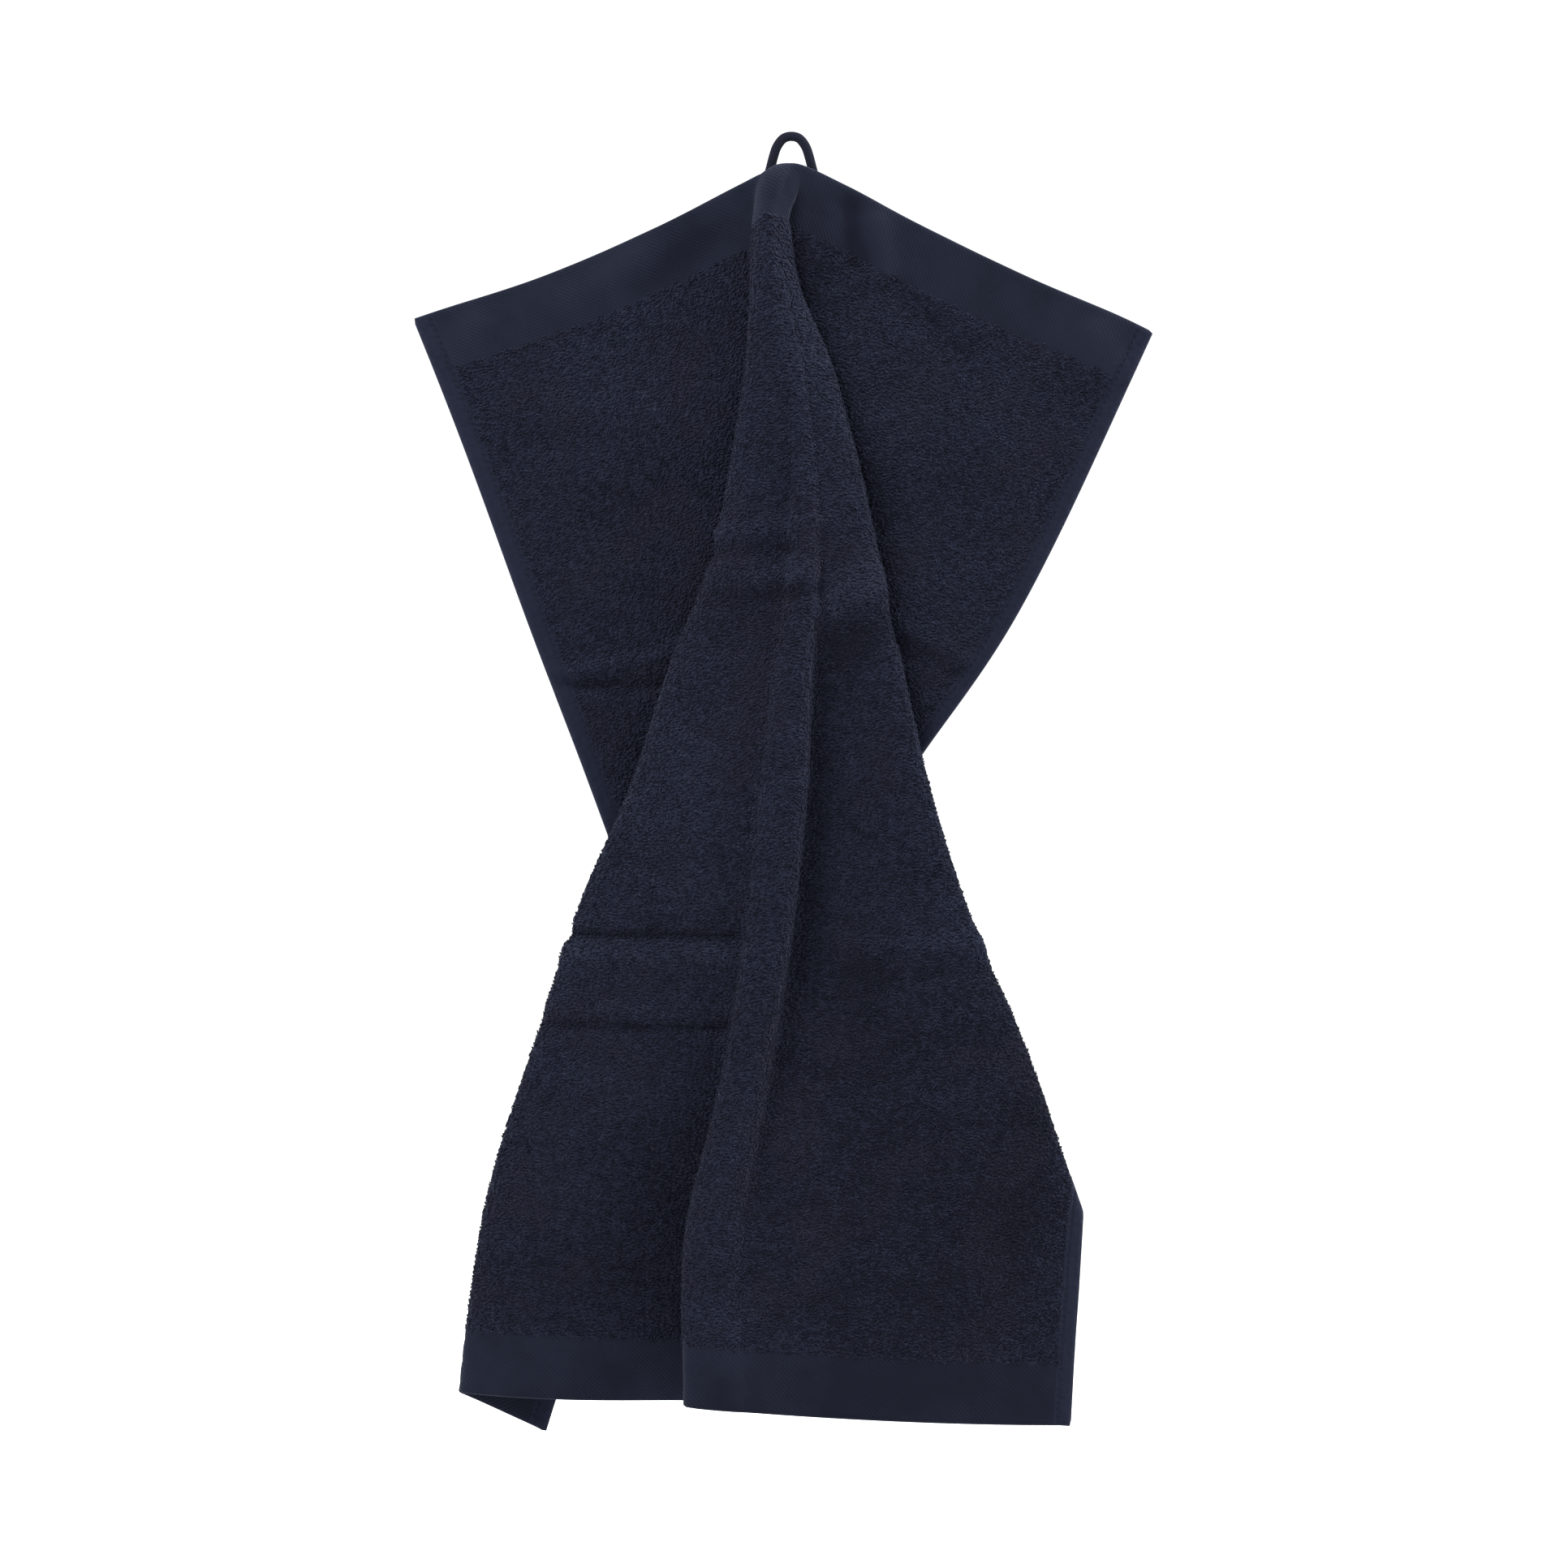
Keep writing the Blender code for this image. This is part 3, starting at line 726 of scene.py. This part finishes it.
def onCloth(surface, s, t, facing):
    # the place on the cloth's front or back, with the ways out of it, across it and down it
    column = np.clip(np.searchsorted(surface["s"], s) - 1, 0, len(surface["s"]) - 2)
    row = np.clip(np.searchsorted(surface["t"], t) - 1, 0, len(surface["t"]) - 2)
    fs = ((s - surface["s"][column]) / np.diff(surface["s"])[column])[:, None]
    ft = ((t - surface["t"][row]) / np.diff(surface["t"])[row])[:, None]

    def between(grid):
        return ((1 - ft) * ((1 - fs) * grid[row, column] + fs * grid[row, column + 1])
                + ft * ((1 - fs) * grid[row + 1, column] + fs * grid[row + 1, column + 1]))

    out = between(surface["out"]) * facing
    out /= np.linalg.norm(out, axis=1, keepdims=True)
    half = between(surface["half"][..., None])
    places = between(surface["places"]) + out * half
    grid = surface["places"]
    ways = []
    for way in (grid[row, column + 1] - grid[row, column], grid[row + 1, column] - grid[row, column]):
        way = way - out * (way * out).sum(axis=1, keepdims=True)
        ways.append(way / np.maximum(np.linalg.norm(way, axis=1, keepdims=True), 1e-9))
    return places, out, *ways


def pileTree():
    tree = bpy.data.node_groups.new("pileLoops", "GeometryNodeTree")
    face = tree.interface
    face.new_socket("Geometry", in_out="INPUT", socket_type="NodeSocketGeometry")
    sizes = (("Half length", 1.1 * mm), ("Half width", 0.45 * mm), ("Half height", 0.5 * mm),
             ("Rise", 0.3 * mm), ("Tilt", 0.5), ("Swing", 1.0), ("Fine share", 0.5))
    for name, value in sizes:
        face.new_socket(name, in_out="INPUT", socket_type="NodeSocketFloat").default_value = value
    face.new_socket("Seed", in_out="INPUT", socket_type="NodeSocketInt")
    face.new_socket("Material", in_out="INPUT", socket_type="NodeSocketMaterial")
    face.new_socket("Geometry", in_out="OUTPUT", socket_type="NodeSocketGeometry")
    link = tree.links.new
    given = addNode(tree, "NodeGroupInput").outputs

    def combine(x, y, z):
        node = addNode(tree, "ShaderNodeCombineXYZ")
        for socket, value in zip(node.inputs, (x, y, z)):
            feed(tree, socket, value)
        return node.outputs[0]

    def bead(rings, bend, sway):
        # a bead of yarn along X, bent to one side or both ways, and humped in its middle
        ball = addNode(tree, "GeometryNodeMeshUVSphere")
        feed(tree, ball.inputs["Segments"], 3)
        feed(tree, ball.inputs["Rings"], rings)
        feed(tree, ball.inputs["Radius"], 1.0)
        lay = addNode(tree, "GeometryNodeTransform")
        link(ball.outputs["Mesh"], lay.inputs["Geometry"])
        feed(tree, lay.inputs["Rotation"], (0.0, math.radians(90), 0.0))
        keep = addNode(tree, "GeometryNodeStoreNamedAttribute", data_type="FLOAT", domain="POINT")
        parts = addNode(tree, "ShaderNodeSeparateXYZ")
        link(addNode(tree, "GeometryNodeInputPosition").outputs[0], parts.inputs[0])
        x, y, z = parts.outputs
        link(lay.outputs[0], keep.inputs["Geometry"])
        feed(tree, keep.inputs["Name"], "rise")
        square = calc(tree, "MULTIPLY", x, x)
        hump = calc(tree, "SUBTRACT", 1.0, square)
        feed(tree, keep.inputs["Value"], calc(tree, "ADD", calc(tree, "MULTIPLY", z, 0.5),
                                              calc(tree, "MULTIPLY", hump, 0.5)))
        move = addNode(tree, "GeometryNodeSetPosition")
        link(keep.outputs[0], move.inputs["Geometry"])
        arc = calc(tree, "MULTIPLY", hump, bend)
        wave = calc(tree, "MULTIPLY", calc(tree, "MULTIPLY", x, hump), sway)
        aside = calc(tree, "MULTIPLY", calc(tree, "ADD", arc, wave), given["Half width"])
        across = calc(tree, "ADD", calc(tree, "MULTIPLY", y, given["Half width"]), aside)
        up = calc(tree, "ADD", calc(tree, "MULTIPLY", calc(tree, "ADD", z, hump), given["Half height"]),
                  given["Rise"])
        feed(tree, move.inputs["Position"],
             combine(calc(tree, "MULTIPLY", x, given["Half length"]), across,
                     calc(tree, "SUBTRACT", up, given["Half height"])))
        box = addNode(tree, "GeometryNodeGeometryToInstance")
        link(move.outputs[0], box.inputs[0])
        return box.outputs[0]

    def joined(*parts):
        node = addNode(tree, "GeometryNodeJoinGeometry")
        for part in reversed(parts):
            link(part, node.inputs[0])
        return node.outputs[0]

    def random(kind, low, high, offset):
        node = addNode(tree, "FunctionNodeRandomValue", data_type=kind)
        slots = [x for x in node.inputs if x.enabled and x.name in ("Min", "Max")]
        feed(tree, slots[0], low)
        feed(tree, slots[1], high)
        feed(tree, node.inputs["Seed"], calc(tree, "ADD", given["Seed"], float(offset)))
        return [x for x in node.outputs if x.enabled][0]

    shapes = joined(bead(3, 1.2, 0.0), bead(3, 0.3, 4.0), bead(2, 1.3, 0.0), bead(2, 0.4, 0.0))
    fine = random("FLOAT", 0.0, 1.0, 1)
    isFine = addNode(tree, "FunctionNodeCompare", data_type="FLOAT", operation="LESS_THAN")
    feed(tree, isFine.inputs[0], fine)
    feed(tree, isFine.inputs[1], given["Fine share"])
    pair = random("INT", 0, 1, 2)
    plainFirst = calc(tree, "SUBTRACT", 2.0, calc(tree, "MULTIPLY", isFine.outputs[0], 2.0))
    index = calc(tree, "ADD", pair, plainFirst)
    spots = addNode(tree, "GeometryNodeInstanceOnPoints")
    link(given["Geometry"], spots.inputs["Points"])
    link(shapes, spots.inputs["Instance"])
    feed(tree, spots.inputs["Pick Instance"], True)
    feed(tree, spots.inputs["Instance Index"], index)
    across = addNode(tree, "GeometryNodeInputNamedAttribute", data_type="FLOAT_VECTOR")
    feed(tree, across.inputs["Name"], "across")
    out = addNode(tree, "GeometryNodeInputNamedAttribute", data_type="FLOAT_VECTOR")
    feed(tree, out.inputs["Name"], "outwards")
    lie = addNode(tree, "FunctionNodeAlignRotationToVector", axis="X")
    link(across.outputs[0], lie.inputs["Vector"])
    stand = addNode(tree, "FunctionNodeAlignRotationToVector", axis="Z", pivot_axis="X")
    link(lie.outputs[0], stand.inputs["Rotation"])
    link(out.outputs[0], stand.inputs["Vector"])

    def turned(rotation, axis, angle):
        spin = addNode(tree, "FunctionNodeAxisAngleToRotation")
        feed(tree, spin.inputs["Axis"], axis)
        feed(tree, spin.inputs["Angle"], angle)
        node = addNode(tree, "FunctionNodeRotateRotation", rotation_space="LOCAL")
        link(rotation, node.inputs[0])
        link(spin.outputs[0], node.inputs[1])
        return node.outputs[0]

    lean = calc(tree, "MULTIPLY", random("FLOAT", -1.0, 1.0, 3), given["Tilt"])
    roll = calc(tree, "MULTIPLY", random("FLOAT", -1.0, 1.0, 4), given["Tilt"])
    aslant = calc(tree, "ADD", random("FLOAT", -0.5, 0.5, 5), random("FLOAT", -0.5, 0.5, 9))
    swing = calc(tree, "MULTIPLY", aslant, given["Swing"])
    rotation = turned(stand.outputs[0], (0.0, 0.0, 1.0), swing)
    rotation = turned(rotation, (0.0, 1.0, 0.0), lean)
    rotation = turned(rotation, (1.0, 0.0, 0.0), roll)
    link(rotation, spots.inputs["Rotation"])
    feed(tree, spots.inputs["Scale"],
         combine(random("FLOAT", 0.75, 1.25, 6), random("FLOAT", 0.8, 1.2, 7), random("FLOAT", 0.6, 1.5, 8)))
    real = addNode(tree, "GeometryNodeRealizeInstances")
    link(spots.outputs[0], real.inputs[0])
    soft = addNode(tree, "GeometryNodeSetShadeSmooth")
    link(real.outputs[0], soft.inputs[0])
    paint = addNode(tree, "GeometryNodeSetMaterial")
    link(soft.outputs[0], paint.inputs["Geometry"])
    link(given["Material"], paint.inputs["Material"])
    link(paint.outputs[0], addNode(tree, "NodeGroupOutput").inputs[0])
    return tree


def grow(name, tree, points, fields, inputs):
    # a mesh of points, the tree run over it, and the result as a plain mesh
    seeds = bpy.data.meshes.new(name + "Points")
    seeds.from_pydata((points * mm).tolist(), [], [])
    for key, values in fields.items():
        kind, slot = ("FLOAT_VECTOR", "vector") if values.ndim == 2 else ("FLOAT", "value")
        field = seeds.attributes.new(key, kind, "POINT")
        field.data.foreach_set(slot, values.astype(np.float32).ravel())
    base = bpy.data.objects.new(name + "Points", seeds)
    bpy.context.scene.collection.objects.link(base)
    modifier = base.modifiers.new("grow", "NODES")
    modifier.node_group = tree
    sockets = {x.name: x.identifier for x in tree.interface.items_tree if x.in_out == "INPUT"}
    for key, value in inputs.items():
        modifier[sockets[key]] = value
    bpy.context.view_layer.update()
    result = base.evaluated_get(bpy.context.evaluated_depsgraph_get())
    mesh = bpy.data.meshes.new_from_object(result)
    mesh.name = name
    bpy.data.objects.remove(base, do_unlink=True)
    obj = bpy.data.objects.new(name, mesh)
    bpy.context.scene.collection.objects.link(obj)
    return obj


def pileMaterial():
    material, tree, shader = newMaterial(
        "pileYarn", Roughness=0.9, Sheen_Weight=0.045, Sheen_Roughness=0.35,
        Sheen_Tint=rgb(0.7, 0.75, 1.0), Specular_IOR_Level=0.02,
    )
    place = addNode(tree, "ShaderNodeTexCoord").outputs["Object"]
    tone = addNode(tree, "ShaderNodeAttribute", attribute_name="tone").outputs["Fac"]
    rise = addNode(tree, "ShaderNodeAttribute", attribute_name="rise").outputs["Fac"]
    colour = yarnColour(tree, place, tone)
    # painted shade: each loop darker towards its root, where it meets the cloth
    colour = blend(tree, ramp(tree, rise, 0.3, -0.2, 0.0, 0.5), colour, dye["ground"])
    tree.links.new(colour, shader.inputs["Base Color"])
    fibre = noise(tree, place, 2600.0, 2.0, 0.6)
    bump = addNode(tree, "ShaderNodeBump")
    bump.inputs["Distance"].default_value = 0.12 * mm
    tree.links.new(fibre, bump.inputs["Height"])
    tree.links.new(bump.outputs[0], shader.inputs["Normal"])
    return material


def makePile(surface, tree):
    material = pileMaterial()
    made = []
    for side, pitch, facing, parts, size, fineShare in (
        ("front", pile["frontPitch"], 1, pile["frontParts"], 1.0, pile["fineShare"]),
        ("back", pile["backPitch"], -1, 1, pile["backGrowth"], 0.0),
    ):
        s, t, tone = pilePoints(pitch, pile["seed"] + parts)
        places, out, across = onCloth(surface, s, t, facing)[:3]
        edges = np.linspace(0, cloth["length"], parts + 1)
        for part in range(parts):
            here = (t >= edges[part]) & (t < edges[part + 1])
            inputs = {
                "Half length": pile["length"] * size * mm,
                "Half width": pile["width"] * size * mm,
                "Half height": pile["height"] * mm,
                "Rise": pile["rise"] * mm,
                "Tilt": math.radians(pile["tilt"]),
                "Swing": math.radians(pile["swing"]),
                "Fine share": fineShare,
                "Seed": pile["seed"] * 100 + part,
                "Material": material,
            }
            name = f"{side}Pile{part + 1}"
            fields = {"outwards": out[here], "across": across[here], "tone": tone[here]}
            obj = grow(name, tree, places[here], fields, inputs)
            made.append(obj)
            print(name, int(here.sum()), "loops", triangles(obj), "triangles")
    return made


def makeSeams(surface, tree):
    # straight stitches down both side hems, on the front and the back
    material, threadTree, shader = newMaterial(
        "hemThread", Roughness=0.9, Sheen_Weight=0.02, Sheen_Roughness=0.4, Specular_IOR_Level=0.02,
    )
    place = addNode(threadTree, "ShaderNodeTexCoord").outputs["Object"]
    fibre = noise(threadTree, place, 2200.0, 2.0, 0.6)
    colour = blend(threadTree, fibre, dye["ground"], dye["thread"])
    threadTree.links.new(colour, shader.inputs["Base Color"])
    t = np.arange(2.0, cloth["length"] - 2.0, hemSeam["pitch"])
    s = np.repeat((hemSeam["inset"], cloth["width"] - hemSeam["inset"]), len(t))
    t = np.tile(t, 2)
    both = [onCloth(surface, s, t, facing) for facing in (1, -1)]
    places, out, down = (np.concatenate([side[k] for side in both]) for k in (0, 1, 3))
    inputs = {
        "Half length": hemSeam["stitch"] * mm,
        "Half width": hemSeam["thread"] * mm,
        "Half height": hemSeam["thread"] * mm,
        "Rise": 0.1 * mm,
        "Tilt": 0.05,
        "Swing": 0.15,
        "Fine share": 1.0,
        "Seed": pile["seed"],
        "Material": material,
    }
    return grow("hemStitches", tree, places, {"outwards": out, "across": down}, inputs)


# the hanging loop, in millimetres
cord = {
    "diameter": 4.6,
    # half of its line: across, up and back
    "line": (
        (0.0, 2.3, 0.0), (3.9, 1.2, 0.0), (6.9, -2.6, 0.1), (8.5, -7.0, 0.4), (9.9, -12.2, 1.0),
        (11.2, -17.0, 2.2), (12.6, -22.0, 3.4), (13.8, -27.0, 4.4),
    ),
    "steps": 10,
    "sides": 20,
    "plaitPitch": 5.2,  # one turn of a strand
    "plaitHeight": 0.008,
    "plaitShare": 0.3,  # how much of the lighter dye shows on a strand
    "fibreHeight": 0.1,
    "strands": 8,
}


def smoothLine(points, steps):
    p = np.array(points, float)
    p = np.concatenate([[2 * p[0] - p[1]], p, [2 * p[-1] - p[-2]]])
    f = np.linspace(0, 1, steps, endpoint=False)[:, None]
    line = [
        0.5 * (2 * b + (c - a) * f + (2 * a - 5 * b + 4 * c - d) * f ** 2
               + (3 * b - a - 3 * c + d) * f ** 3)
        for a, b, c, d in zip(p, p[1:], p[2:], p[3:])
    ]
    return np.concatenate([*line, p[-2:-1]])


def makeCord(material):
    half = [(x, back, up) for x, up, back in cord["line"]]
    line = smoothLine([(-x, back, up) for x, back, up in half[:0:-1]] + half, cord["steps"])
    along = np.gradient(line, axis=0)
    along /= np.linalg.norm(along, axis=1, keepdims=True)
    side = np.cross(along, (0.0, 1.0, 0.0))
    side /= np.linalg.norm(side, axis=1, keepdims=True)
    up = np.cross(side, along)
    length = np.concatenate([[0], np.cumsum(np.linalg.norm(np.diff(line, axis=0), axis=1))])
    sides = cord["sides"]
    turn = np.arange(sides) * 2 * math.pi / sides
    radius = cord["diameter"] / 2
    points = [
        c + radius * (math.cos(a) * n + math.sin(a) * b)
        for c, n, b in zip(line, side, up) for a in turn
    ]
    faces = []
    for k in range(len(line) - 1):
        for j in range(sides):
            n = (j + 1) % sides
            faces.append((k * sides + j, k * sides + n, (k + 1) * sides + n, (k + 1) * sides + j))
    faces.append(tuple(range(sides))[::-1])
    faces.append(tuple(range((len(line) - 1) * sides, len(line) * sides)))
    mesh = bpy.data.meshes.new("cordLoop")
    mesh.from_pydata((np.array(points) * mm).tolist(), [], faces)
    layer = mesh.uv_layers.new(name="flat")
    spots = []
    for poly in mesh.polygons:
        # the last side of a ring ends at 1 and not back at 0
        isLast = poly.index < len(faces) - 2 and any(v % sides == sides - 1 for v in poly.vertices)
        for corner in poly.vertices:
            row, j = divmod(corner, sides)
            around = 1.0 if isLast and j == 0 else j / sides
            spots.extend((around, length[row] * mm))
    layer.uv.foreach_set("vector", spots)
    mesh.polygons.foreach_set("use_smooth", [True] * (len(faces) - 2) + [False] * 2)
    mesh.materials.append(material)
    mesh.update()
    obj = bpy.data.objects.new("cordLoop", mesh)
    bpy.context.scene.collection.objects.link(obj)
    return obj


def cordMaterial():
    material, tree, shader = newMaterial(
        "plaitedCord", Roughness=0.85, Sheen_Weight=0.04, Sheen_Roughness=0.35,
        Sheen_Tint=rgb(0.7, 0.75, 1.0), Specular_IOR_Level=0.03,
    )
    around, along = flatPlace(tree)[1:]
    turns = math.pi * cord["strands"]  # half of the strands go each way
    waves = []
    for way in (-1.0, 1.0):
        rise = way * turns / (cord["plaitPitch"] * mm)
        phase = calc(tree, "ADD", calc(tree, "MULTIPLY", around, turns),
                     calc(tree, "MULTIPLY", along, rise))
        waves.append(calc(tree, "SINE", phase))
    plait = calc(tree, "MAXIMUM", *waves)
    fibre = noise(tree, addNode(tree, "ShaderNodeTexCoord").outputs["Object"], 1800.0, 3.0, 0.6)
    height = calc(tree, "ADD", calc(tree, "MULTIPLY", plait, cord["plaitHeight"] * mm),
                  calc(tree, "MULTIPLY", fibre, cord["fibreHeight"] * mm))
    bump = addNode(tree, "ShaderNodeBump")
    bump.inputs["Distance"].default_value = 1.0
    tree.links.new(height, bump.inputs["Height"])
    tree.links.new(bump.outputs[0], shader.inputs["Normal"])
    share = calc(tree, "MULTIPLY", ramp(tree, plait, -0.2, 1.0), cord["plaitShare"])
    tree.links.new(blend(tree, share, dye["cord"], dye["cordLight"]), shader.inputs["Base Color"])
    return material


# the studio, in metres
studio = {
    "floorDrop": 0.7,
    "floorSize": 14.0,
    "floorTone": 0.92,
    "sky": 1.12,
    # each softbox: its place, how strongly it lights a surface that faces it, and its size
    "softboxes": {
        "keyLight": ((-0.6, -0.85, 0.75), 6.5, 0.7),
        "rightLight": ((0.9, -0.05, 0.4), 10.0, 0.7),
        "leftLight": ((-1.0, 0.2, 0.0), 3.0, 0.8),
    },
    "aim": (0.0, 0.0, -0.1),
}


def makeStudio():
    bpy.ops.mesh.primitive_plane_add(size=studio["floorSize"], location=(0, 0, -studio["floorDrop"]))
    floor = bpy.context.object
    floor.name = "studioFloor"
    material, _, shader = newMaterial("paleFloor", Roughness=0.95, Specular_IOR_Level=0.1)
    tone = studio["floorTone"]
    shader.inputs["Base Color"].default_value = rgb(tone, tone, tone)
    floor.data.materials.append(material)
    world = bpy.data.worlds.new("studioWorld")
    bpy.context.scene.world = world
    world.use_nodes = True
    world.node_tree.nodes["Background"].inputs[0].default_value = rgb(1, 1, 1)
    world.node_tree.nodes["Background"].inputs[1].default_value = studio["sky"]
    for name, (place, strength, size) in studio["softboxes"].items():
        light = bpy.data.lights.new(name, "AREA")
        light.shape = "DISK"
        light.size = size
        way = Vector(studio["aim"]) - Vector(place)
        light.energy = strength * math.pi * way.length ** 2
        obj = bpy.data.objects.new(name, light)
        obj.location = place
        obj.rotation_euler = way.to_track_quat("-Z", "Y").to_euler()
        obj.visible_camera = False
        bpy.context.scene.collection.objects.link(obj)
    bpy.context.scene.view_settings.view_transform = "Standard"


makeCamera()
print("camera done")
surface = makeSurface()
sheet = makeSheet(surface, clothMaterial())
print("cloth sheet done", triangles(sheet), "triangles")
tree = pileTree()
pileParts = makePile(surface, tree)
pileParts.append(makeSeams(surface, tree))
print("seams done")
cordLoop = makeCord(cordMaterial())
print("cord done")
for piece in (sheet, cordLoop, *pileParts):
    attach(piece, "root")
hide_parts("towel")
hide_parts("hanging_loop")
makeStudio()
print("studio done")
